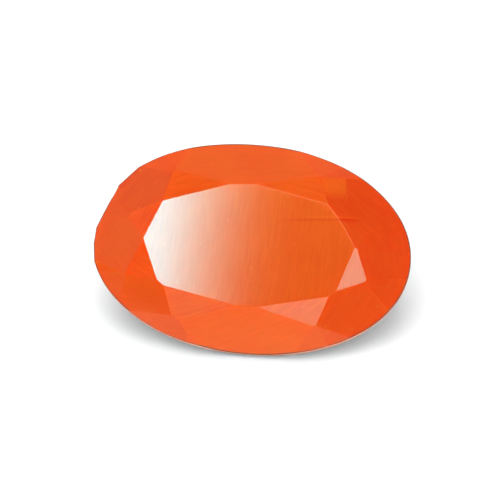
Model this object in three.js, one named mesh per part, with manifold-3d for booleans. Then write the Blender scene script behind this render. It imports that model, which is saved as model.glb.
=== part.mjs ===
// A faceted carnelian: an oval brilliant of about 15 x 10 mm, cut by hand from one piece of stone.
// Millimetres, +Z up, +X along the stone. The stone is cut in a frame of its own, with z = 0 at the
// upper edge of the girdle and the table facing +Z, and is then laid on its front pavilion main.

import * as THREE from 'three';
import { mergeVertices } from 'three/addons/utils/BufferGeometryUtils.js';
import Module from 'manifold-3d';

const wasm = await Module();
wasm.setup();

// Girdle outline, looking down on the table
const LENGTH = 15.0;
const WIDTH = 9.9;
const FULLNESS = 2.05; // exponent of the oval: 2 is an ellipse, and more is squarer
const OUTLINE_TURN = -4.0; // degrees that the oval is turned against the facets
const OUTLINE_STEPS = 240;

// Heights
const CROWN_HEIGHT = 1.5;
const GIRDLE_THICKNESS = 0.3; // under the mains; it is thicker between them
const LEAN = 41.0; // slope of the front pavilion main, so also how far the stone leans lying on it

// The crown's cut, counter-clockwise from the right end. Each row is one main: its compass direction
// and slope in degrees, the height at which it meets the girdle, the corner of the table that it
// clips, the slope of the star after it, and how deep the two halves after that star pass its tip.
const CROWN_CUT = [
  { azimuth: 1.5, slope: 30.5, foot: 0, corner: [4.88, 0.04], star: 21.5, past: [0.02, 0.01] },
  { azimuth: 40.0, slope: 31.8, foot: 0, corner: [3.71, 1.99], star: 15.9, past: [0.02, 0.03] },
  { azimuth: 91.0, slope: 35.2, foot: 0, corner: [-0.4, 3.0], star: 20.0, past: [0.01, 0.03] },
  { azimuth: 136.0, slope: 33.5, foot: 0, corner: [-4.15, 1.95], star: 22.0, past: [0.03, 0.02] },
  { azimuth: 180.5, slope: 31.0, foot: 0, corner: [-5.0, 0.15], star: 20.5, past: [0.01, 0.02] },
  { azimuth: 232.0, slope: 35.0, foot: 0.2, corner: [-4.2, -2.0], star: 25.0, past: [0.1, 0.02] },
  { azimuth: 267.5, slope: 36.2, foot: 0, corner: [-0.1, -3.0], star: 20.5, past: [0.02, 0.01] },
  { azimuth: 309.0, slope: 33.8, foot: 0.06, corner: [4.0, -2.26], star: 15.5, past: [0.02, 0.02] },
];

// The pavilion's cut: compass directions of its mains, which all run down to the culet
const PAVILION_AZIMUTHS = [0, 44, 90, 136, 180, 224, 270, 316];
const LOWER_HALF_REACH = 0.72; // how far the lower halves run from the girdle towards the culet
const LOWER_HALF_PAST = [0.02, 0.01]; // how deep they pass the point where they should meet the mains
const CULET_LOSS = 0.12; // height that the small flat on the culet takes off

// The halves come in pairs over the ridge between two mains, and take its foot down to the girdle
const HALF_SPREAD = 5.0; // degrees from the middle of the pair to each half
const HALF_FOOT = 0.4; // height left at the girdle, as a share of the ridge's height there

// Breaks in the girdle: vertical flats, and where each begins and ends in plan
const BREAKS = [
  { from: [-5.6, 3.53], to: [-6.31, 2.83] },
  { from: [-6.84, 1.72], to: [-7.28, 0.78] },
  { from: [-7.38, 0.0], to: [-7.33, -0.8] },
];

// Chips in the girdle: where each begins and ends in plan, how hollow it is, and its middle's height
const CHIPS = [
  { from: [-6.31, 2.83], to: [-6.84, 1.72], hollow: 0.065, level: -0.1 },
  { from: [-7.28, 0.78], to: [-7.38, 0.0], hollow: 0.015, level: -0.1 },
  { from: [3.36, -4.61], to: [4.0, -4.41], hollow: 0.035, level: 0.15 },
];
const CHIP_ROUNDING = 1.2; // radius of the hollows from top to bottom
const CHIP_GRAIN = 0.12; // length of the small flats that a hollow is made of

const BLOCK = 60; // size of the blocks that stand for everything outside a facet

/** A closed geometry as a solid that can be joined and cut. */
function solidOf(geometry) {
  geometry.deleteAttribute('normal');
  geometry.deleteAttribute('uv');
  const merged = mergeVertices(geometry);
  return new wasm.Manifold(new wasm.Mesh({
    numProp: 3,
    vertProperties: new Float32Array(merged.attributes.position.array),
    triVerts: new Uint32Array(merged.index.array),
  }));
}

/** A solid's triangles as a geometry. */
function geometryOf(solid) {
  const cut = solid.getMesh();
  const geometry = new THREE.BufferGeometry();
  geometry.setAttribute('position', new THREE.BufferAttribute(cut.vertProperties, 3));
  geometry.setIndex(new THREE.BufferAttribute(cut.triVerts, 1));
  geometry.computeVertexNormals();
  return geometry;
}

/** Where a tangent that faces this compass direction touches the girdle, at the height z. */
function girdlePoint(azimuth, z) {
  const direction = THREE.MathUtils.degToRad(azimuth - OUTLINE_TURN);
  const along = Math.cos(direction) * LENGTH / 2;
  const across = Math.sin(direction) * WIDTH / 2;
  const power = FULLNESS / (FULLNESS - 1);
  const reach = (Math.abs(along) ** power + Math.abs(across) ** power) ** (1 / power);
  const part = (side, half) => Math.sign(side) * half * (Math.abs(side) / reach) ** (power - 1);
  return new THREE.Vector3(part(along, LENGTH / 2), part(across, WIDTH / 2), z)
    .applyAxisAngle(new THREE.Vector3(0, 0, 1), THREE.MathUtils.degToRad(OUTLINE_TURN));
}

/** The uncut blank: the girdle's oval, as tall as the finished stone. */
function blank(depth) {
  const points = [];
  for (let step = 0; step < OUTLINE_STEPS; step += 1) {
    const spot = girdlePoint(360 * step / OUTLINE_STEPS, 0);
    points.push(new THREE.Vector2(spot.x, spot.y));
  }
  const geometry = new THREE.ExtrudeGeometry(new THREE.Shape(points), {
    depth: CROWN_HEIGHT + depth,
    bevelEnabled: false,
  });
  geometry.translate(0, 0, -depth);
  return solidOf(geometry);
}

/** A facet that faces a compass direction, at a slope from the girdle, through a point. */
function facetFacing(azimuth, slope, point) {
  const compass = THREE.MathUtils.degToRad(azimuth);
  const steep = THREE.MathUtils.degToRad(slope);
  const normal = new THREE.Vector3(
    Math.sin(steep) * Math.cos(compass),
    Math.sin(steep) * Math.sin(compass),
    Math.cos(steep),
  );
  return new THREE.Plane().setFromNormalAndCoplanarPoint(normal, point);
}

/** The facet through three points, facing out, moved into the stone by a small overcut. */
function facetThrough(a, b, c, overcut) {
  const facet = new THREE.Plane().setFromCoplanarPoints(a, b, c);
  if (facet.constant > 0) {
    facet.negate();
  }
  facet.constant += overcut;
  return facet;
}

/** The point where three facets meet. */
function meet(a, b, c) {
  const bc = b.normal.clone().cross(c.normal);
  const ca = c.normal.clone().cross(a.normal);
  const ab = a.normal.clone().cross(b.normal);
  const sum = bc.clone().multiplyScalar(a.constant)
    .addScaledVector(ca, b.constant)
    .addScaledVector(ab, c.constant);
  return sum.multiplyScalar(-1 / a.normal.dot(bc));
}

/** Everything outside a facet, as a block to be cut away. */
function beyond(facet) {
  const turn = new THREE.Quaternion().setFromUnitVectors(new THREE.Vector3(0, 0, 1), facet.normal);
  const centre = facet.normal.clone().multiplyScalar(BLOCK / 2 - facet.constant);
  const place = new THREE.Matrix4().compose(centre, turn, new THREE.Vector3(1, 1, 1));
  return solidOf(new THREE.BoxGeometry(BLOCK, BLOCK, BLOCK).applyMatrix4(place));
}

/** The compass direction halfway from one main to the next one counter-clockwise. */
function halfway(azimuth, nextAzimuth) {
  const gap = THREE.MathUtils.euclideanModulo(nextAzimuth - azimuth, 360);
  return azimuth + gap / 2;
}

/** The height of a facet over a point in plan. */
function heightOver(facet, point) {
  return -(facet.normal.x * point.x + facet.normal.y * point.y + facet.constant) / facet.normal.z;
}

/** A half: it runs from a point on the ridge down to the girdle, in its own compass direction. */
function halfFacet(azimuth, top, foot, past) {
  const compass = THREE.MathUtils.degToRad(azimuth);
  const along = new THREE.Vector3(-Math.sin(compass), Math.cos(compass), 0);
  return facetThrough(top, foot, foot.clone().add(along), past);
}

/** The two halves over the ridge between two mains, from a point on the ridge to the girdle's edge. */
function halves(mains, azimuths, index, top, edge, past) {
  const next = (index + 1) % mains.length;
  const middle = halfway(azimuths[index], azimuths[next]);
  const under = girdlePoint(middle, edge);
  const ridges = [mains[index], mains[next]].map((main) => heightOver(main, under) - edge);
  const nearest = Math.abs(ridges[0]) < Math.abs(ridges[1]) ? ridges[0] : ridges[1];
  return [-HALF_SPREAD, HALF_SPREAD].map((spread, side) => {
    const foot = girdlePoint(middle + spread, edge + HALF_FOOT * nearest);
    return halfFacet(middle + spread, top, foot, past[side]);
  });
}

/** Crown: eight mains, eight stars round the table and sixteen upper halves. */
function crownFacets() {
  const azimuths = CROWN_CUT.map((row) => row.azimuth);
  const mains = CROWN_CUT.map((row) => {
    const foot = girdlePoint(row.azimuth, row.foot);
    return facetFacing(row.azimuth, row.slope, foot);
  });
  const facets = [...mains];
  CROWN_CUT.forEach((row, index) => {
    const next = (index + 1) % CROWN_CUT.length;
    const [x, y] = row.corner;
    const [nextX, nextY] = CROWN_CUT[next].corner;
    const outward = THREE.MathUtils.radToDeg(Math.atan2(nextY - y, nextX - x)) - 90;
    const star = facetFacing(outward, row.star, new THREE.Vector3(x, y, CROWN_HEIGHT));
    const tip = meet(mains[index], mains[next], star);
    facets.push(star, ...halves(mains, azimuths, index, tip, 0, row.past));
  });
  return facets;
}

/** Pavilion: eight mains to the culet, sixteen lower halves, and the small flat on the culet. */
function pavilionFacets(depth) {
  const lowerEdge = -GIRDLE_THICKNESS;
  const fall = depth - GIRDLE_THICKNESS;
  const culet = new THREE.Vector3(0, 0, -depth);
  const mains = PAVILION_AZIMUTHS.map((azimuth) => {
    const edge = girdlePoint(azimuth, lowerEdge);
    const compass = THREE.MathUtils.degToRad(azimuth);
    const reach = edge.x * Math.cos(compass) + edge.y * Math.sin(compass);
    const slope = THREE.MathUtils.radToDeg(Math.atan2(fall, reach));
    return facetFacing(azimuth, 180 - slope, culet);
  });
  const level = new THREE.Plane(new THREE.Vector3(0, 0, -1), lowerEdge - LOWER_HALF_REACH * fall);
  const facets = [...mains];
  mains.forEach((main, index) => {
    const ridge = meet(main, mains[(index + 1) % mains.length], level);
    facets.push(...halves(mains, PAVILION_AZIMUTHS, index, ridge, lowerEdge, LOWER_HALF_PAST));
  });
  facets.push(new THREE.Plane(new THREE.Vector3(0, 0, -1), CULET_LOSS - depth));
  return facets;
}

/** What broke away at a flat: everything beyond a vertical plane through its two ends. */
function breakBody({ from, to }) {
  const start = new THREE.Vector3(...from, 0);
  const end = new THREE.Vector3(...to, 0);
  const below = start.clone().setZ(-GIRDLE_THICKNESS);
  return beyond(facetThrough(start, end, below, 0));
}

/** What broke away at a chip: a ball, pressed flat, whose hollow runs from one end of it to the other. */
function chipBody({ from, to, hollow, level }) {
  const start = new THREE.Vector3(...from, level);
  const end = new THREE.Vector3(...to, level);
  const chord = start.distanceTo(end);
  const radius = (chord ** 2 / 4 + hollow ** 2) / (2 * hollow);
  const middle = start.clone().lerp(end, 0.5);
  const outward = end.clone().sub(start).normalize().cross(new THREE.Vector3(0, 0, 1));
  if (outward.dot(middle) < 0) {
    outward.negate();
  }
  const centre = middle.addScaledVector(outward, radius - hollow);
  const tall = Math.sqrt(radius * CHIP_ROUNDING);
  const around = Math.ceil(2 * Math.PI * radius / CHIP_GRAIN);
  const upward = Math.ceil(Math.PI * tall / CHIP_GRAIN);
  const ball = new THREE.SphereGeometry(radius, around, upward);
  ball.rotateX(Math.PI / 2);
  ball.scale(1, 1, tall / radius);
  return solidOf(ball.translate(centre.x, centre.y, centre.z));
}

/** The whole stone in its cutting frame. */
function cutStone() {
  const frontReach = -girdlePoint(270, 0).y;
  const depth = GIRDLE_THICKNESS + frontReach * Math.tan(THREE.MathUtils.degToRad(LEAN));
  let stone = blank(depth);
  for (const facet of [...crownFacets(), ...pavilionFacets(depth)]) {
    stone = stone.subtract(beyond(facet));
  }
  for (const lost of [...BREAKS.map(breakBody), ...CHIPS.map(chipBody)]) {
    stone = stone.subtract(lost);
  }
  return stone;
}

const polishedCarnelian = new THREE.MeshStandardMaterial({
  color: 0xe8552a,
  roughness: 0.18,
  metalness: 0,
  flatShading: true,
});

const carnelian = new THREE.Mesh(geometryOf(cutStone()), polishedCarnelian);
carnelian.name = 'carnelian';

// Laid on the front pavilion main, which comes down onto z = 0, with the origin under its middle
carnelian.rotation.x = THREE.MathUtils.degToRad(LEAN);
carnelian.updateMatrixWorld(true);
const extent = new THREE.Box3().setFromObject(carnelian, true);
const centre = extent.getCenter(new THREE.Vector3());
carnelian.position.set(-centre.x, -centre.y, -extent.min.z);

const stone = new THREE.Group();
stone.add(carnelian);

export default stone;
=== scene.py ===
import math

import bmesh
import bpy
from mathutils import Matrix, Vector
from mathutils.bvhtree import BVHTree


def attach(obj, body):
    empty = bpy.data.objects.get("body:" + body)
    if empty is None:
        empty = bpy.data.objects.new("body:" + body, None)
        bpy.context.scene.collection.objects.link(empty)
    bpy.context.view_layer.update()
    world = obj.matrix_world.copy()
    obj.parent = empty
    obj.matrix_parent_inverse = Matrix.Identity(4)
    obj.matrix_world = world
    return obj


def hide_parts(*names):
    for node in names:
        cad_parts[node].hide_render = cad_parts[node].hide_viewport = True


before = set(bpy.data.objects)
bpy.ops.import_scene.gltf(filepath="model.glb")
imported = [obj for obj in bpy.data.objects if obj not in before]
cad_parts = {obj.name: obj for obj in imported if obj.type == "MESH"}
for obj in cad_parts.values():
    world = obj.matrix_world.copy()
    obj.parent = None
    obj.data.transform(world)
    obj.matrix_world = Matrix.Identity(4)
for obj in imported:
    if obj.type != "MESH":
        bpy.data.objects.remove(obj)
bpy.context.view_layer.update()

# A faceted carnelian on a white surface. Metres, in the same frame as the CAD: +X along the stone, +Z up.
MM = 0.001
scene = bpy.context.scene

# The stone as it was cut: its own axes lean forward by the slope of the facet that it lies on
CUT_CENTRE = Vector((-0.052, -0.091, 3.487)) * MM  # on the stone's axis, level with the girdle's upper edge
LEAN = math.radians(41.0)
CUT_TO_STONE = Matrix.Rotation(LEAN, 3, "X")

# Camera: in front, a little to the right, above, and far enough for the stone to look almost parallel
VIEW_AZIMUTH = math.radians(3.0)
VIEW_ELEVATION = math.radians(41.0)
VIEW_DISTANCE = 300 * MM
NEAREST_SEEN = 1 * MM
IMAGE_WIDTH = 500  # pixels
PIXELS_PER_MM = 21.36  # of the image, at the stone
OFF_CENTRE = (1.1, 0.8)  # pixels that the stone's centre is right of and above the image's centre
SENSOR = 36.0  # mm

# The stone's surface, worked out in mm
WELD = 0.012  # points nearer than this are one
FLAT = math.radians(0.4)  # triangles that bend less than this are one facet
SMALLEST_FACET = 0.004  # mm2
SAME_POINT = 0.00001
BLOCK = 40.0  # a block larger than the stone, to begin with
EDGE_ROUNDING = 0.12  # radius that polishing leaves on the edges between facets
ARC_STEP = math.radians(12)
FACET, EDGE, RIM, CHIP = KINDS = range(4)  # kinds of face; the rim is the girdle's upper edge

# Chips in the girdle, in the stone's own axes in mm: both ends in plan, how hollow, and the middle's height
CHIPS = [
    ((-6.31, 2.83), (-6.84, 1.72), 0.065, -0.1),
    ((-7.28, 0.78), (-7.38, 0.0), 0.015, -0.1),
    ((3.36, -4.61), (4.0, -4.41), 0.035, 0.15),
]
CHIP_ROUNDING = 1.2  # radius of the hollow from top to bottom
CHIP_FINENESS = 6  # how often the triangles of the ball that cuts it are divided
RIPPLE_HEIGHT = 0.004
RIPPLE_LENGTH = 0.17

# Kinds of facet by the upward part of their normals, in the stone's own axes
GIRDLE_UPRIGHT = (0.1, 0.3)  # up to the first number the girdle, and from the second on what is polished
HALF_UPRIGHT = (0.78, 0.81)  # up to the first number a half, and from the second on a main facet
MAIN_UPRIGHT = 0.86  # up to this a main facet
STAR_UPRIGHT = 0.92  # from this on a star
TABLE_UPRIGHT = 0.985  # from this on the table

# How warm the stone looks through its facets, from 0, deep red, to 1, orange: its own colours, spread over
# the facets by painted shade
MAIN_WARMTH = 0.25
RIGHT_LOSS = 0.17  # less on the right, and more on the left
BACK_LOSS = 0.13
LONG_SIDE_GAIN = 0.45
LONG_SIDE_NARROW = 12  # the higher this power, the nearer the gain keeps to the middle of the long sides
TABLE_WARMTH = 0.84
TABLE_RISE = 0.055  # painted light: more for each mm towards the table's upper side
STAR_WARMTH = 0.72
STAR_LOSS = 1.3  # less in steep stars at the oval's ends

# Painted light and shade: how light the stone looks through each facet, by which way it faces
TABLE_LIGHT = 0.865
STAR_LIGHT = 0.96
STAR_RIGHT_LOSS = 0.05
MAIN_LIGHT = 0.95
LONG_SIDE_LIGHT = 0.05
RIGHT_LIGHT = 0.045
UPPER_HALF_LIGHT = 0.11

# Colours and finish
DEEP_RED = (0.60, 0.056, 0.0075, 1)
ORANGE = (0.68, 0.112, 0.011, 1)
PAINTED_RIM_DARK = (0.10, 0.03, 0.02, 1)  # painted dark reflection on the polished rim above the girdle
FROSTED = (0.85, 0.42, 0.24, 1)  # the girdle and the chips
POLISH = 0.06  # roughness of the facets
FROST = 0.45  # roughness of the ground girdle
FROST_WHITE = 0.8
CHIP_FROST = 0.35
RIM_LOW = (0.15, 0.3)  # the painted darkness sets in over this stretch of upward normals, and ends over the next one
RIM_HIGH = (0.76, 0.84)
RIM_DARKENING = 0.9
REFRACTION = 1.54
SCATTERING = (1.0, 0.35, 0.15)  # how far red, green and blue light spreads, as shares of the depth
SCATTERING_DEPTH = 1.2 * MM

# Polishing streaks, grain, clouds and specks, with sizes in mm
STREAK_WIDTH = 0.12
STREAK_LENGTH = 1.3
# Painted sheen: the light that the polishing streaks catch, as warmth and lightness in the colour
STREAK_SHEEN_WARMTH = 0.6
STREAK_SHEEN_LIGHT = 0.2
MAIN_STREAKS = 0.5  # how clearly the streaks show on each kind of facet, in their bump and in their painted sheen
STAR_STREAKS = 1.05
TABLE_STREAKS = 0.9
STREAK_LEAN = math.radians(6)  # on the table
STREAK_TURN = -0.85  # how far the streaks turn from facet to facet, as a share of the way round the stone
STREAK_ZERO = math.radians(-21)  # compass direction of the facet whose streaks run across the stone
STREAK_ROUGHNESS = 0.06
STREAK_DEPTH = 0.0004
GRAIN_SIZE = 0.03
GRAIN_DEPTH = 0.01
CLOUD_SIZE = 1.6
CLOUD_WARMTH = 0.45
SPECK_SPACING = 0.6
SPECK_SIZE = 0.085
SPECK_SHARE = 0.5
SPECK_COLOUR = (0.61, 0.14, 0.032, 1)

# A healed crack in the right half of the stone, in the stone's own axes in mm
CRACK_LEVEL = 1.25
CRACK_SLANT = 0.04
CRACK_LIGHT_LINE = (0.03, 0.06)  # its middle above the crack, and half its width
CRACK_DARK_LINE = (-0.09, 0.102)
CRACK_STEP_WIDTH = 0.06
CRACK_FROM, CRACK_FULL = 1.2, 2.2
CRACK_LIGHT_FROM, CRACK_LIGHT_FULL = 2.0, 3.6
CRACK_FADES, CRACK_ENDS = 4.4, 5.3
CRACK_WARMTH = 0.5
CRACK_STEP = 0.07  # how much warmer the stone is above the crack

# A painted glow of light in the upper right main facet, and a short crack beside it, in the stone's own axes
# in mm
PATCH_AROUND = math.radians(40)  # compass direction of its facet
PATCH_BREADTH = math.radians(9)  # to either side of it
PATCH_UPRIGHT = (0.79, 0.88)
PATCH_RIGHT = (4.42, 4.28)  # the painted glow sets in from the first number to the second one
PATCH_LOW = (2.25, 2.85)
PAINTED_GLOW_WARMTH = 0.65
TICK_X = 4.42
TICK_HALF_WIDTH = 0.055
TICK_FROM, TICK_TO = 2.302, 2.648
TICK_WARMTH = 0.4

# Floor and light
FLOOR_WHITE = 0.9
FLOOR_RADIUS = 600 * MM
FLOOR_SEGMENTS = 96
MIRRORED_FLOOR_RADIUS = 40 * MM
MIRRORED_FLOOR_LIGHT = 1.0
MIRRORED_FLOOR_BACK = 14 * MM  # how far its centre lies behind the stone
MIRRORED_FLOOR_LEVEL = -0.02 * MM
HORIZON_LIGHT = 1.2
SUNS = [  # name, direction, breadth in degrees, and light
    ("dome", (0, 0, 1), 178, 2.4),
    ("overhead", (-0.07, 0.03, 0.5), 50, 1.3),
    ("fill", (-0.06, -0.45, 0.22), 70, 1.85),
]
CARD_DISTANCE = 100 * MM
CARD_COLOUR = (0.42, 1.06, 0.86, 1)  # cool, because the stone's own orange is added to it
WHITE = (1, 1, 1, 1)

# Cards: name, azimuth and elevation in degrees, width and height in mm, and light
CARDS = [
    ("right_card", 36.5, 39.5, 14, 16, 4.6),
    ("front_card", 8, 17, 16, 12, 2.4),
    ("low_left_card", -14, 8, 16, 10, 0.8),
    ("rim_card", 24, 70.5, 44, 24, 5.0),
    ("edge_card", 50, 60, 20, 10, 6.0),
    ("halves_card", 157, 31, 30, 12, 0.25),
    ("back_floor", 180, 8, 300, 34, 0.9),
    ("left_wall", -95, 32, 90, 60, 0.3),
    ("back_wall", -178, 50, 110, 50, 0.25),
]

# The edge of a bright window: its light fades out from left to right over the table
WINDOW_AZIMUTH = -9.0  # degrees
WINDOW_ELEVATION = 57.0
WINDOW_WIDTH = 34 * MM
WINDOW_HEIGHT = 30 * MM
WINDOW_FADE = (0.473, 0.72)  # shares of its width
WINDOW_LIGHT = (3.0, 18.5, 20.0)  # red, green and blue
WINDOW_CURVE = (1.0, 2.4, 3.0)  # how steeply each of them fades


def direction(azimuth, elevation):
    """A direction: azimuth to the right of the front, -Y, and elevation above the level."""
    flat = math.cos(elevation)
    return Vector((math.sin(azimuth) * flat, -math.cos(azimuth) * flat, math.sin(elevation)))


def add_object(name, data):
    """A new object in the scene."""
    made = bpy.data.objects.new(name, data)
    scene.collection.objects.link(made)
    return made


def in_own_axes(vector):
    """A direction or a shift as the stone's own axes give it."""
    return CUT_TO_STONE.inverted() @ vector


# Camera

def photograph_camera():
    """The camera, aimed so that the stone stands in the image where it does in the photograph."""
    toward = direction(VIEW_AZIMUTH, VIEW_ELEVATION)
    turn = (-toward).to_track_quat("-Z", "Y")
    right = turn @ Vector((1, 0, 0))
    up = turn @ Vector((0, 1, 0))
    aim = CUT_CENTRE - (right * OFF_CENTRE[0] + up * OFF_CENTRE[1]) / PIXELS_PER_MM * MM
    data = bpy.data.cameras.new("camera")
    data.sensor_width = SENSOR
    data.lens = PIXELS_PER_MM * (VIEW_DISTANCE / MM) * SENSOR / IMAGE_WIDTH
    data.clip_start = NEAREST_SEEN
    camera = add_object("camera", data)
    camera.location = aim + toward * VIEW_DISTANCE
    camera.rotation_euler = turn.to_euler()
    scene.camera = camera


photograph_camera()


# Stone

def convex_facets(node):
    """The stone's facets as (normal, point on the plane) in mm, from the convex body around the solid."""
    mesh = bmesh.new()
    for vertex in node.data.vertices:
        mesh.verts.new(vertex.co / MM)
    bmesh.ops.remove_doubles(mesh, verts=mesh.verts, dist=WELD)
    hull = bmesh.ops.convex_hull(mesh, input=mesh.verts)
    inside = [part for part in hull["geom_interior"] if isinstance(part, bmesh.types.BMVert)]
    bmesh.ops.delete(mesh, geom=inside, context="VERTS")
    bmesh.ops.recalc_face_normals(mesh, faces=mesh.faces)
    bmesh.ops.dissolve_limit(mesh, angle_limit=FLAT, use_dissolve_boundaries=False,
                             verts=mesh.verts, edges=mesh.edges)
    facets = [(face.normal.copy(), face.calc_center_median()) for face in mesh.faces
              if face.calc_area() > SMALLEST_FACET]
    mesh.free()
    return facets


def inner_body(facets, depth):
    """The body inside the facets when each is moved in by a depth, in mm."""
    mesh = bmesh.new()
    bmesh.ops.create_cube(mesh, size=BLOCK)
    for normal, point in facets:
        everything = mesh.verts[:] + mesh.edges[:] + mesh.faces[:]
        cut = bmesh.ops.bisect_plane(mesh, geom=everything, dist=SAME_POINT, clear_outer=True,
                                     plane_co=point - normal * depth, plane_no=normal)
        rim = [part for part in cut["geom_cut"] if isinstance(part, bmesh.types.BMEdge)]
        if rim:
            bmesh.ops.contextual_create(mesh, geom=rim)
    bmesh.ops.recalc_face_normals(mesh, faces=mesh.faces)
    return mesh


def faces_around(vertex):
    """The faces round a vertex, in order, and the edge between each face and the next one."""
    loop = vertex.link_loops[0]
    ring = []
    for _ in vertex.link_faces:
        edge = loop.link_loop_prev.edge
        ring.append((loop.face, edge))
        follow = next(other for other in edge.link_loops if other.face != loop.face)
        loop = follow if follow.vert == vertex else follow.link_loop_next
    return ring


def edge_kind(faces):
    """RIM where the crown meets the girdle, and EDGE elsewhere."""
    uprights = [in_own_axes(face.normal).z for face in faces]
    _, polished = GIRDLE_UPRIGHT
    wall = min(abs(upright) for upright in uprights) < polished
    return RIM if wall and max(uprights) > polished else EDGE


def rounded_body(inner, radius):
    """The surface that a ball makes when it rolls over the inner body, with each face's kind."""
    points = []
    polygons = []
    kinds = []
    made = {}

    def point(vertex, normal, key):
        """The number of the point over a vertex in one direction, which is made once."""
        if key not in made:
            made[key] = len(points)
            points.append(vertex.co + normal * radius)
        return made[key]

    def corner(vertex, face):
        """The number of a face's corner over a vertex."""
        return point(vertex, face.normal, (vertex.index, "face", face.index))

    def arc(vertex, edge, first):
        """The points over a vertex from one of an edge's faces to the other one."""
        low, high = sorted(edge.link_faces, key=lambda face: face.index)
        turn = low.normal.angle(high.normal)
        steps = max(1, math.ceil(turn / ARC_STEP))
        course = [corner(vertex, low)]
        for step in range(1, steps):
            normal = low.normal.slerp(high.normal, step / steps)
            course.append(point(vertex, normal, (vertex.index, "edge", edge.index, step)))
        course.append(corner(vertex, high))
        return course if first == low else course[::-1]

    for face in inner.faces:
        polygons.append([corner(loop.vert, face) for loop in face.loops])
        kinds.append(FACET)
    for edge in inner.edges:
        loop = edge.link_loops[0]
        face = loop.face
        tail = arc(loop.vert, edge, face)
        head = arc(loop.link_loop_next.vert, edge, face)
        for step in range(len(tail) - 1):
            polygons.append([head[step], tail[step], tail[step + 1], head[step + 1]])
            kinds.append(edge_kind(edge.link_faces))
    for vertex in inner.verts:
        ring = faces_around(vertex)
        rim = []
        for face, edge in ring:
            rim.extend(arc(vertex, edge, face)[:-1])
        middle = sum((face.normal for face, _ in ring), Vector()).normalized()
        top = point(vertex, middle, (vertex.index, "middle"))
        for here, after in zip(rim, rim[1:] + rim[:1]):
            polygons.append([top, here, after])
            kinds.append(edge_kind(vertex.link_faces))
    return points, polygons, kinds


def mesh_object(name, points, polygons, kinds):
    """An object in mm whose faces' kinds are their material indices."""
    data = bpy.data.meshes.new(name)
    data.from_pydata(points, [], polygons)
    for _ in KINDS:
        data.materials.append(None)
    data.polygons.foreach_set("material_index", kinds)
    return add_object(name, data)


def chip_tool(start, end, hollow, level):
    """What broke away at a chip, in mm: a rippled ball whose surface runs from one end to the other."""
    start = Vector((*start, level))
    end = Vector((*end, level))
    chord = (end - start).length
    radius = (chord ** 2 / 4 + hollow ** 2) / (2 * hollow)
    outward = (end - start).cross(Vector((0, 0, 1))).normalized()
    if outward.dot(start) < 0:
        outward.negate()
    centre = (start + end) / 2 + outward * (radius - hollow)
    tall = math.sqrt(radius * CHIP_ROUNDING)
    ball = bmesh.new()
    bmesh.ops.create_icosphere(ball, subdivisions=CHIP_FINENESS, radius=1)
    for vertex in ball.verts:
        place = centre + Vector((vertex.co.x * radius, vertex.co.y * radius, vertex.co.z * tall))
        wave = math.sin(2 * math.pi * (place - start).length / RIPPLE_LENGTH)
        place += vertex.co * wave * RIPPLE_HEIGHT
        vertex.co = CUT_TO_STONE @ place + CUT_CENTRE / MM
    points = [vertex.co.copy() for vertex in ball.verts]
    polygons = [[vertex.index for vertex in face.verts] for face in ball.faces]
    ball.free()
    return mesh_object("chip", points, polygons, [CHIP] * len(polygons))


def chipped(body):
    """The body's mesh with its chips cut out."""
    tools = [chip_tool(*chip) for chip in CHIPS]
    for tool in tools:
        cut = body.modifiers.new(tool.name, "BOOLEAN")
        cut.operation = "DIFFERENCE"
        cut.solver = "EXACT"
        cut.object = tool
    bpy.context.view_layer.update()
    dependencies = bpy.context.evaluated_depsgraph_get()
    data = bpy.data.meshes.new_from_object(body.evaluated_get(dependencies))
    for thing in (body, *tools):
        mesh = thing.data
        bpy.data.objects.remove(thing)
        bpy.data.meshes.remove(mesh)
    return data


def share(value, low, high):
    """0 below low, 1 above high, and even between them."""
    return min(1, max(0, (value - low) / (high - low)))


def crown_value(cut, main, star, table):
    """A main facet's, a star's or the table's value, by how upright the surface's normal is."""
    top = star + (table - star) * share(cut.z, TABLE_UPRIGHT, 1)
    return main + (top - main) * share(cut.z, MAIN_UPRIGHT, STAR_UPRIGHT)


def compass(cut):
    """The direction in which a normal leans, counted round the stone from its right end to its back."""
    return math.atan2(cut.y, cut.x)


def long_side(around):
    """1 at the middle of the oval's long sides, and 0 away from them."""
    return abs(math.sin(around)) ** LONG_SIDE_NARROW


def painted_shade_warmth_at(normal, place):
    """How orange, and not deep red, the stone looks through its surface at a place in mm, as painted shade by
    which way the facet faces.
    """
    cut = in_own_axes(normal)
    around = compass(cut)
    right = math.cos(around)
    main = MAIN_WARMTH - RIGHT_LOSS * right - BACK_LOSS * math.sin(around)
    main += LONG_SIDE_GAIN * long_side(around)
    star = STAR_WARMTH - STAR_LOSS * abs(right) * math.hypot(cut.x, cut.y)
    table = TABLE_WARMTH + TABLE_RISE * in_own_axes(place - CUT_CENTRE / MM).y
    return crown_value(cut, main, star, table)


def painted_light_at(normal):
    """Painted light and shade: how light the stone looks through a surface that faces this way."""
    cut = in_own_axes(normal)
    around = compass(cut)
    main = MAIN_LIGHT + RIGHT_LIGHT * math.cos(around) + LONG_SIDE_LIGHT * long_side(around)
    main += UPPER_HALF_LIGHT * max(0, math.sin(around)) * (1 - share(cut.z, *HALF_UPRIGHT))
    star = STAR_LIGHT - STAR_RIGHT_LOSS * math.cos(around)
    return crown_value(cut, main, star, TABLE_LIGHT)


def streak_share(normal):
    """How clearly the polishing streaks show on a surface that faces this way, in their bump and in their
    painted sheen.
    """
    return crown_value(in_own_axes(normal), MAIN_STREAKS, STAR_STREAKS, TABLE_STREAKS)


def painted_glow_share(normal):
    """1 on the facet that the painted glow is seen through, and 0 on the others."""
    cut = in_own_axes(normal)
    low, high = PATCH_UPRIGHT
    beside = abs(compass(cut) - PATCH_AROUND) < PATCH_BREADTH
    return 1 if beside and low < cut.z < high else 0


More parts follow.
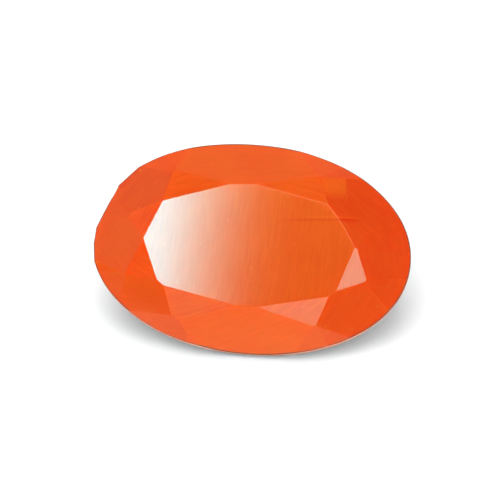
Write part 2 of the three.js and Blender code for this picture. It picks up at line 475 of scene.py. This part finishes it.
def girdle_frost(normal, kind):
    """1 on the ground girdle, less in the chips, and 0 on what is polished."""
    if kind == CHIP:
        return CHIP_FROST
    return 1 - share(abs(in_own_axes(normal).z), *GIRDLE_UPRIGHT)


def painted_dark_rim(normal, kind):
    """1 on the rounded edge between the crown's facets and the girdle, where a dark reflection is painted,
    and 0 elsewhere.
    """
    if kind != RIM:
        return 0
    upright = in_own_axes(normal).z
    return share(upright, *RIM_LOW) * (1 - share(upright, *RIM_HIGH))


def polish_frame(normal):
    """Two directions in a facet: across its polishing streaks and along them."""
    cut = in_own_axes(normal)
    turn = STREAK_LEAN
    if cut.z < TABLE_UPRIGHT:
        turn = STREAK_TURN * (compass(cut) - STREAK_ZERO)
    along = CUT_TO_STONE @ Vector((math.sin(turn), math.cos(turn), 0))
    across = along.cross(normal).normalized()
    return across, normal.cross(across)


def loop_normals(data, inner):
    """The true normal at each face corner: away from the inner body, or the ball's own in a chip."""
    tree = BVHTree.FromBMesh(inner)
    hollows = {}
    for face in data.polygons:
        if face.material_index == CHIP:
            for vertex in face.vertices:
                hollows[vertex] = hollows.get(vertex, Vector()) + face.normal * face.area
    normals = []
    for face in data.polygons:
        for vertex in face.vertices:
            place = data.vertices[vertex].co
            if face.material_index == CHIP:
                normals.append(hollows[vertex].normalized())
            else:
                normals.append((place - tree.find_nearest(place)[0]).normalized())
    return normals


def mark(data, name, domain, numbers):
    """A number for each face or corner that the material reads."""
    made = data.attributes.new(name, "FLOAT", domain)
    made.data.foreach_set("value", numbers)


def streak_places(data):
    """Each face corner's place in mm across and along its facet's polishing streaks."""
    places = []
    for face in data.polygons:
        across, along = polish_frame(face.normal)
        for vertex in face.vertices:
            place = data.vertices[vertex].co
            places.extend((place.dot(across), place.dot(along), place.dot(face.normal)))
    made = data.attributes.new("streaks", "FLOAT_VECTOR", "CORNER")
    made.data.foreach_set("vector", places)


def polished_stone(node):
    """The stone with the CAD's facets, its edges rounded by polishing, and its chips."""
    inner = inner_body(convex_facets(node), EDGE_ROUNDING)
    for sequence in (inner.verts, inner.edges, inner.faces):
        sequence.index_update()
    body = mesh_object("body", *rounded_body(inner, EDGE_ROUNDING))
    data = chipped(body)
    data.name = "polished_stone"
    faces = [(face.normal.copy(), face.material_index) for face in data.polygons]
    corners = [(face.normal, data.vertices[index].co) for face in data.polygons for index in face.vertices]
    # painted shade: warmth by which way each facet faces, over the stone's own deep red and orange
    mark(data, "warmth", "CORNER", [painted_shade_warmth_at(normal, place) for normal, place in corners])
    # painted light and shade: each facet's lightness by which way it faces
    mark(data, "light", "FACE", [painted_light_at(normal) for normal, _ in faces])
    mark(data, "streaking", "FACE", [streak_share(normal) for normal, _ in faces])
    # painted glow of light seen through one facet
    mark(data, "patch", "FACE", [painted_glow_share(normal) for normal, _ in faces])
    mark(data, "frost", "FACE", [girdle_frost(normal, kind) for normal, kind in faces])
    # painted dark reflection on the rim
    mark(data, "rim", "FACE", [painted_dark_rim(normal, kind) for normal, kind in faces])
    streak_places(data)
    normals = loop_normals(data, inner)
    inner.free()
    data.shade_smooth()
    data.normals_split_custom_set(normals)
    data.materials.clear()
    data.polygons.foreach_set("material_index", [0] * len(data.polygons))
    data.transform(Matrix.Scale(MM, 4))
    return add_object("polished_stone", data)


stone = polished_stone(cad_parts["carnelian"])


# Materials

def maths(tree, operation, *values):
    """A sum, product or other operation on numbers and nodes' outputs."""
    made = tree.nodes.new("ShaderNodeMath")
    made.operation = operation
    for socket, value in zip(made.inputs, values):
        if isinstance(value, bpy.types.NodeSocket):
            tree.links.new(value, socket)
        else:
            socket.default_value = value
    return made.outputs[0]


def ramp(tree, value, zero_at, one_at, curve="SMOOTHSTEP"):
    """0 at one number and beyond it, 1 at the other one, and a smooth run or a straight one between them."""
    made = tree.nodes.new("ShaderNodeMapRange")
    made.interpolation_type = curve
    made.inputs["From Min"].default_value = zero_at
    made.inputs["From Max"].default_value = one_at
    tree.links.new(value, made.inputs["Value"])
    return made.outputs["Result"]


def distance(tree, value, middle):
    """How far a value is from a middle."""
    return maths(tree, "ABSOLUTE", maths(tree, "SUBTRACT", value, middle))


def band(tree, value, middle, half_width):
    """1 in the middle of a band, falling smoothly to 0 at its edges."""
    return ramp(tree, distance(tree, value, middle), half_width, 0)


def attribute(tree, name, output="Fac"):
    """A value that the mesh holds."""
    made = tree.nodes.new("ShaderNodeAttribute")
    made.attribute_name = name
    return made.outputs[output]


def blend(tree, factor, first, second):
    """A mix of two colours: the first at 0, the second at 1, and beyond it above 1."""
    made = tree.nodes.new("ShaderNodeMix")
    made.data_type = "RGBA"
    made.clamp_factor = False
    tree.links.new(factor, made.inputs["Factor"])
    for socket, value in ((made.inputs["A"], first), (made.inputs["B"], second)):
        if isinstance(value, bpy.types.NodeSocket):
            tree.links.new(value, socket)
        else:
            socket.default_value = value
    return made.outputs["Result"]


def scaled(tree, colour, factor):
    """A colour made lighter or darker."""
    made = tree.nodes.new("ShaderNodeVectorMath")
    made.operation = "SCALE"
    tree.links.new(colour, made.inputs["Vector"])
    tree.links.new(factor, made.inputs["Scale"])
    return made.outputs["Vector"]


def noise(tree, place, scale, detail):
    """Smooth noise about 0, from -0.5 to 0.5."""
    made = tree.nodes.new("ShaderNodeTexNoise")
    made.inputs["Scale"].default_value = scale
    made.inputs["Detail"].default_value = detail
    tree.links.new(place, made.inputs["Vector"])
    return maths(tree, "SUBTRACT", made.outputs["Fac"], 0.5)


def own_place(tree):
    """The place in the stone's own axes in mm."""
    place = tree.nodes.new("ShaderNodeTexCoord")
    shift = tree.nodes.new("ShaderNodeVectorMath")
    shift.operation = "SUBTRACT"
    shift.inputs[1].default_value = CUT_CENTRE
    turn = tree.nodes.new("ShaderNodeMapping")
    turn.inputs["Rotation"].default_value = (-LEAN, 0, 0)
    turn.inputs["Scale"].default_value = (1 / MM, 1 / MM, 1 / MM)
    tree.links.new(place.outputs["Object"], shift.inputs[0])
    tree.links.new(shift.outputs["Vector"], turn.inputs["Vector"])
    return turn.outputs["Vector"]


def streaks(tree):
    """The fine streaks that polishing leaves on each facet, for the bump and roughness and for a painted
    sheen in the colour.
    """
    squeeze = tree.nodes.new("ShaderNodeMapping")
    squeeze.inputs["Scale"].default_value = (1 / STREAK_WIDTH, 1 / STREAK_LENGTH, 1)
    tree.links.new(attribute(tree, "streaks", "Vector"), squeeze.inputs["Vector"])
    streaks_and_sheen = noise(tree, squeeze.outputs["Vector"], scale=1.0, detail=2.0)
    return maths(tree, "MULTIPLY", streaks_and_sheen, attribute(tree, "streaking"))


def healed_crack(tree, x, y):
    """The warmth of a light line, a dark one under it and the stone above, from the middle to the right."""
    line = maths(tree, "ADD", CRACK_LEVEL, maths(tree, "MULTIPLY", x, CRACK_SLANT))
    off = maths(tree, "SUBTRACT", y, line)
    light = band(tree, off, *CRACK_LIGHT_LINE)
    light = maths(tree, "MULTIPLY", light, ramp(tree, x, CRACK_LIGHT_FROM, CRACK_LIGHT_FULL))
    dark = band(tree, off, *CRACK_DARK_LINE)
    lines = maths(tree, "MULTIPLY", maths(tree, "SUBTRACT", light, dark), CRACK_WARMTH)
    above = ramp(tree, off, -CRACK_STEP_WIDTH, CRACK_STEP_WIDTH)
    warmth = maths(tree, "ADD", lines, maths(tree, "MULTIPLY", above, CRACK_STEP))
    begun = ramp(tree, x, CRACK_FROM, CRACK_FULL)
    going_on = ramp(tree, x, CRACK_ENDS, CRACK_FADES)
    return maths(tree, "MULTIPLY", warmth, maths(tree, "MULTIPLY", begun, going_on))


def painted_glow(tree, x, y):
    """A painted glow of light at the inner end of the upper right main facet, with a sharp right side and a
    soft lower one.
    """
    corner = maths(tree, "MULTIPLY", ramp(tree, x, *PATCH_RIGHT), ramp(tree, y, *PATCH_LOW))
    return maths(tree, "MULTIPLY", corner, attribute(tree, "patch"))


def short_crack(tree, x, y):
    """A short light line beside the patch."""
    line = band(tree, x, TICK_X, TICK_HALF_WIDTH)
    off = distance(tree, y, (TICK_FROM + TICK_TO) / 2)
    return maths(tree, "MULTIPLY", line, maths(tree, "LESS_THAN", off, (TICK_TO - TICK_FROM) / 2))


def specks(tree, place):
    """Sparse light specks in the stone."""
    cells = tree.nodes.new("ShaderNodeTexVoronoi")
    cells.inputs["Scale"].default_value = 1 / SPECK_SPACING
    tree.links.new(place, cells.inputs["Vector"])
    split = tree.nodes.new("ShaderNodeSeparateColor")
    tree.links.new(cells.outputs["Color"], split.inputs["Color"])
    chosen = maths(tree, "LESS_THAN", split.outputs["Red"], SPECK_SHARE)
    near = ramp(tree, cells.outputs["Distance"], SPECK_SIZE / SPECK_SPACING, 0)
    return maths(tree, "MULTIPLY", near, chosen)


def stone_colour(tree, place, streaks_and_sheen, frost):
    """The stone's colour, from its warmth and light, which carry painted light and shade, with every detail,
    and its painted dark rim and girdle.
    """
    split = tree.nodes.new("ShaderNodeSeparateXYZ")
    tree.links.new(place, split.inputs["Vector"])
    x, y = split.outputs["X"], split.outputs["Y"]
    warmth = maths(tree, "ADD", attribute(tree, "warmth"), healed_crack(tree, x, y))
    # the streaks add painted sheen; the clouds and the short crack are the stone's own
    for detail, amount in (
            (streaks_and_sheen, STREAK_SHEEN_WARMTH),
            (noise(tree, place, scale=1 / CLOUD_SIZE, detail=3.0), CLOUD_WARMTH),
            # painted glow
            (painted_glow(tree, x, y), PAINTED_GLOW_WARMTH),
            (short_crack(tree, x, y), TICK_WARMTH)):
        warmth = maths(tree, "ADD", warmth, maths(tree, "MULTIPLY", detail, amount))
    # painted light and shade: the streaks' sheen and each facet's lightness
    light = maths(tree, "ADD", 1.0, maths(tree, "MULTIPLY", streaks_and_sheen, STREAK_SHEEN_LIGHT))
    light = maths(tree, "MULTIPLY", light, attribute(tree, "light"))
    colour = scaled(tree, blend(tree, warmth, DEEP_RED, ORANGE), light)
    colour = blend(tree, specks(tree, place), colour, SPECK_COLOUR)
    # painted dark reflection on the rim above the girdle
    colour = blend(tree, maths(tree, "MULTIPLY", attribute(tree, "rim"), RIM_DARKENING), colour, PAINTED_RIM_DARK)
    return blend(tree, maths(tree, "MULTIPLY", frost, FROST_WHITE), colour, FROSTED)


def surface_roughness(tree, streaks_and_sheen, frost):
    """Smooth on the polished facets, a little less along the streaks, and rough on the girdle."""
    rough = maths(tree, "ADD", POLISH, maths(tree, "MULTIPLY", frost, FROST - POLISH))
    return maths(tree, "ADD", rough, maths(tree, "MULTIPLY", streaks_and_sheen, STREAK_ROUGHNESS))


def surface_relief(tree, place, streaks_and_sheen, frost):
    """A bump, in mm, of the polishing streaks and of the girdle's ground grain."""
    grain = noise(tree, place, scale=1 / GRAIN_SIZE, detail=1.0)
    grain = maths(tree, "MULTIPLY", maths(tree, "MULTIPLY", grain, frost), GRAIN_DEPTH)
    bump = tree.nodes.new("ShaderNodeBump")
    bump.inputs["Distance"].default_value = MM
    height = maths(tree, "ADD", maths(tree, "MULTIPLY", streaks_and_sheen, STREAK_DEPTH), grain)
    tree.links.new(height, bump.inputs["Height"])
    return bump.outputs["Normal"]


def carnelian_material():
    """Translucent orange-red stone with a polished surface and a ground girdle."""
    material = bpy.data.materials.new("carnelian")
    material.use_nodes = True
    tree = material.node_tree
    shader = tree.nodes["Principled BSDF"]
    place = own_place(tree)
    streaks_and_sheen = streaks(tree)
    frost = attribute(tree, "frost")
    tree.links.new(stone_colour(tree, place, streaks_and_sheen, frost), shader.inputs["Base Color"])
    tree.links.new(surface_roughness(tree, streaks_and_sheen, frost), shader.inputs["Roughness"])
    tree.links.new(surface_relief(tree, place, streaks_and_sheen, frost), shader.inputs["Normal"])
    shader.inputs["IOR"].default_value = REFRACTION
    shader.inputs["Subsurface Weight"].default_value = 1.0
    shader.inputs["Subsurface Radius"].default_value = SCATTERING
    shader.inputs["Subsurface Scale"].default_value = SCATTERING_DEPTH
    return material


stone.data.materials.append(carnelian_material())
stone.visible_diffuse = False  # it throws no orange light on the floor
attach(stone, "root")
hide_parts("carnelian")


# Floor and light

def plain_white(name):
    """A matt white surface's material."""
    material = bpy.data.materials.new(name)
    material.use_nodes = True
    shader = material.node_tree.nodes["Principled BSDF"]
    shader.inputs["Base Color"].default_value = (FLOOR_WHITE, FLOOR_WHITE, FLOOR_WHITE, 1)
    shader.inputs["Roughness"].default_value = 1.0
    shader.inputs["Specular IOR Level"].default_value = 0.0
    return material


def glow_material(name, strength=1, colour=CARD_COLOUR):
    """Plain light from a card, and the node that sends it out."""
    material = bpy.data.materials.new(name)
    material.use_nodes = True
    tree = material.node_tree
    tree.nodes.clear()
    emission = tree.nodes.new("ShaderNodeEmission")
    emission.inputs["Color"].default_value = colour
    emission.inputs["Strength"].default_value = strength
    output = tree.nodes.new("ShaderNodeOutputMaterial")
    tree.links.new(emission.outputs["Emission"], output.inputs["Surface"])
    return material, emission


def only_mirrored(thing):
    """Let something be seen in polished facets alone."""
    thing.visible_camera = False
    thing.visible_diffuse = False
    thing.visible_shadow = False


def disc(name, radius, level, material):
    """A flat disc at a level, which is part of the stage."""
    mesh = bmesh.new()
    bmesh.ops.create_circle(mesh, cap_ends=True, segments=FLOOR_SEGMENTS, radius=radius)
    data = bpy.data.meshes.new(name)
    mesh.to_mesh(data)
    mesh.free()
    data.materials.append(material)
    made = add_object(name, data)
    made.location.z = level
    return made


def floor_glow():
    """White light that fades away from the centre of the floor."""
    material, emission = glow_material("mirrored_floor", colour=WHITE)
    tree = material.node_tree
    place = tree.nodes.new("ShaderNodeTexCoord")
    reach = tree.nodes.new("ShaderNodeVectorMath")
    reach.operation = "LENGTH"
    tree.links.new(place.outputs["Object"], reach.inputs[0])
    near = ramp(tree, reach.outputs["Value"], MIRRORED_FLOOR_RADIUS, 0, "LINEAR")
    tree.links.new(maths(tree, "MULTIPLY", near, MIRRORED_FLOOR_LIGHT), emission.inputs["Strength"])
    return material


def white_floor():
    """A white surface, and the dimmer one that polished facets mirror."""
    floor = disc("floor", FLOOR_RADIUS, 0, plain_white("floor"))
    floor.visible_glossy = False
    mirrored = disc("mirrored_floor", MIRRORED_FLOOR_RADIUS, MIRRORED_FLOOR_LEVEL, floor_glow())
    mirrored.location.y = MIRRORED_FLOOR_BACK
    only_mirrored(mirrored)


def white_horizon():
    """White beyond the floor, for the camera alone."""
    world = bpy.data.worlds.new("horizon")
    scene.world = world
    world.use_nodes = True
    background = world.node_tree.nodes["Background"]
    background.inputs["Color"].default_value = WHITE
    background.inputs["Strength"].default_value = HORIZON_LIGHT
    world.cycles_visibility.diffuse = False
    world.cycles_visibility.glossy = False
    world.cycles_visibility.transmission = False


def sun(name, toward, breadth, strength):
    """Even soft light from one side, which polished facets don't mirror."""
    data = bpy.data.lights.new(name, "SUN")
    data.angle = math.radians(breadth)
    data.energy = strength
    data.cycles.use_multiple_importance_sampling = False  # with it, light reaches the floor through the stone
    light = add_object(name, data)
    light.rotation_euler = Vector(toward).to_track_quat("Z", "Y").to_euler()
    light.visible_glossy = False
    light.visible_camera = False


def card(name, azimuth, elevation, width, height, glow):
    """A glowing card that only polished surfaces mirror, facing the stone from a direction in degrees."""
    toward = direction(math.radians(azimuth), math.radians(elevation))
    mesh = bmesh.new()
    bmesh.ops.create_grid(mesh, x_segments=1, y_segments=1, size=0.5)
    data = bpy.data.meshes.new(name)
    mesh.to_mesh(data)
    mesh.free()
    data.materials.append(glow)
    made = add_object(name, data)
    made.scale = (width, height, 1)
    made.location = CUT_CENTRE + toward * CARD_DISTANCE
    made.rotation_euler = toward.to_track_quat("Z", "Y").to_euler()
    only_mirrored(made)


def fading_glow(name, strengths, curves, fade_from, fade_to):
    """Light from a card that fades out along its width, and turns warmer as it fades."""
    material, emission = glow_material(name)
    tree = material.node_tree
    place = tree.nodes.new("ShaderNodeTexCoord")
    split = tree.nodes.new("ShaderNodeSeparateXYZ")
    tree.links.new(place.outputs["Generated"], split.inputs["Vector"])
    fade = ramp(tree, split.outputs["X"], fade_to, fade_from, "LINEAR")
    join = tree.nodes.new("ShaderNodeCombineXYZ")
    for socket, strength, curve in zip(join.inputs, strengths, curves):
        level = maths(tree, "MULTIPLY", strength, maths(tree, "POWER", fade, curve))
        tree.links.new(level, socket)
    tree.links.new(join.outputs["Vector"], emission.inputs["Color"])
    return material


def studio_cards():
    """What the facets mirror: the fading edge of a bright window in the table, and soft lights in others."""
    for name, azimuth, elevation, width, height, strength in CARDS:
        glow, _ = glow_material(name, strength)
        card(name, azimuth, elevation, width * MM, height * MM, glow)
    window = fading_glow("window", WINDOW_LIGHT, WINDOW_CURVE, *WINDOW_FADE)
    card("window", WINDOW_AZIMUTH, WINDOW_ELEVATION, WINDOW_WIDTH, WINDOW_HEIGHT, window)


white_floor()
white_horizon()
for lamp in SUNS:
    sun(*lamp)
studio_cards()
scene.view_settings.view_transform = "Standard"
